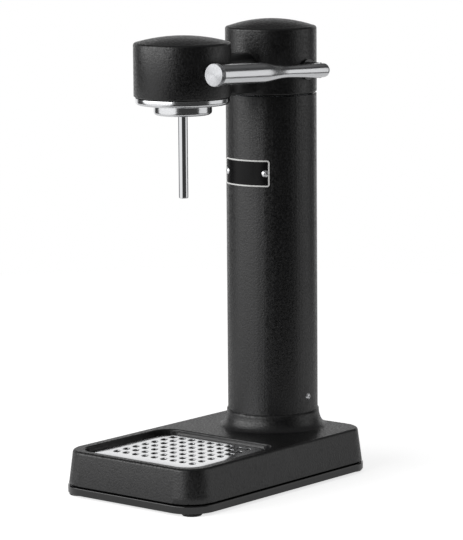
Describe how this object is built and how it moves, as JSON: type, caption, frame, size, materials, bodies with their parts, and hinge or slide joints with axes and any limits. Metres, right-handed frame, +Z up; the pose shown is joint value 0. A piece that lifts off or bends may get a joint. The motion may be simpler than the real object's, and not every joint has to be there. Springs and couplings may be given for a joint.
{
  "type": "sparkling water maker",
  "caption": "Free-standing sparkling water maker: flat base with a perforated drip grille, round column hiding the gas cylinder, head with bottle socket and nozzle, and a side lever.",
  "frame": {"origin": "on the table, under the middle of the base's box", "axes": "+Z up the column, -Y towards the front where the bottle stands, +X towards the lever"},
  "size_m": [0.1616, 0.2568, 0.4146],
  "materials": {
    "powder_coat_cast": "die-cast alloy with a matte, finely sanded black powder coat",
    "powder_coat_tube": "drawn alloy tube with a matte, finely sanded black powder coat",
    "black_plastic": "moulded satin black",
    "polished_steel": "polished stainless steel",
    "steel_fastener": "plain stainless steel",
    "cast_aluminium": "machined alloy",
    "brass": "machined brass",
    "rubber": "matte black rubber",
    "moulded_plastic": "moulded grey plastic",
    "badge": "gloss black plate with a thin pale border, bare",
    "cylinder_aluminium": "drawn aluminium, satin"
  },
  "bodies": {
    "machine": {"base_body": "powder_coat_cast", "base_plate": "black_plastic", "rubber_feet": "rubber", "base_screws": "steel_fastener", "column_tube": "powder_coat_tube", "column_screws": "steel_fastener", "badge_plate": "badge", "badge_screws": "steel_fastener", "column_ring": "cast_aluminium", "cylinder_guide": "moulded_plastic", "head_shell": "powder_coat_cast", "head_screws": "steel_fastener", "splash_ring": "polished_steel", "bottle_socket": "polished_steel", "bottle_seal": "rubber", "nozzle_body": "moulded_plastic", "nozzle_tube": "polished_steel", "nozzle_screws": "steel_fastener", "gas_hose": "moulded_plastic", "hose_nuts": "brass", "relief_valve": "brass", "relief_spring": "steel_fastener", "valve_block": "cast_aluminium", "valve_screws": "steel_fastener", "cylinder_seal": "rubber", "plunger_seal": "rubber", "plunger_spring": "steel_fastener", "axle_bracket": "steel_fastener", "bracket_screws": "steel_fastener", "axle_bushes": "brass", "axle_flange": "black_plastic", "return_spring": "steel_fastener"},
    "lever": {"lever_rod": "polished_steel", "lever_end_cap": "polished_steel", "lever_axle": "polished_steel", "axle_clip": "steel_fastener", "cam": "steel_fastener", "cam_screw": "steel_fastener"},
    "valve_plunger": {"plunger": "steel_fastener"},
    "gas_cylinder": {"cylinder_bottle": "cylinder_aluminium", "cylinder_valve": "brass", "valve_spring": "steel_fastener"},
    "cylinder_pin": {"valve_pin": "brass"},
    "grille": {"drip_grille": "polished_steel", "grille_pads": "rubber"},
    "relief": {"relief_poppet": "steel_fastener"}
  },
  "joints": [
    {"name": "lever_pull", "type": "hinge", "parent": "machine", "child": "lever", "pos_m": [0.0565, 0.0798, 0.3702], "axis": [1, 0, 0], "range_deg": [0, 35], "stiffness_Nm_per_rad": 0.6, "springref_deg": -51.57},
    {"name": "plunger_press", "type": "slide", "parent": "machine", "child": "valve_plunger", "axis": [0, 0, -1], "range_m": [0, 0.0031], "deforming": ["plunger_spring"]},
    {"name": "cylinder_withdraw", "type": "slide", "parent": "machine", "child": "gas_cylinder", "axis": [0, 0, -1], "range_m": [0, 0.36]},
    {"name": "pin_press", "type": "slide", "parent": "gas_cylinder", "child": "cylinder_pin", "axis": [0, 0, -1], "range_m": [0, 0.0031], "deforming": ["valve_spring"]},
    {"name": "grille_lift", "type": "slide", "parent": "machine", "child": "grille", "axis": [0, 0, 1], "range_m": [0, 0.12]},
    {"name": "relief_open", "type": "slide", "parent": "machine", "child": "relief", "axis": [0, 0, 1], "range_m": [0, 0.0015], "stiffness_N_per_m": 900, "springref_m": -0.003, "deforming": ["relief_spring"]}
  ],
  "couplings": [
    {"joint": "plunger_press", "follows": "lever_pull", "m_per_rad": 0.005},
    {"joint": "pin_press", "follows": "lever_pull", "m_per_rad": 0.005}
  ]
}
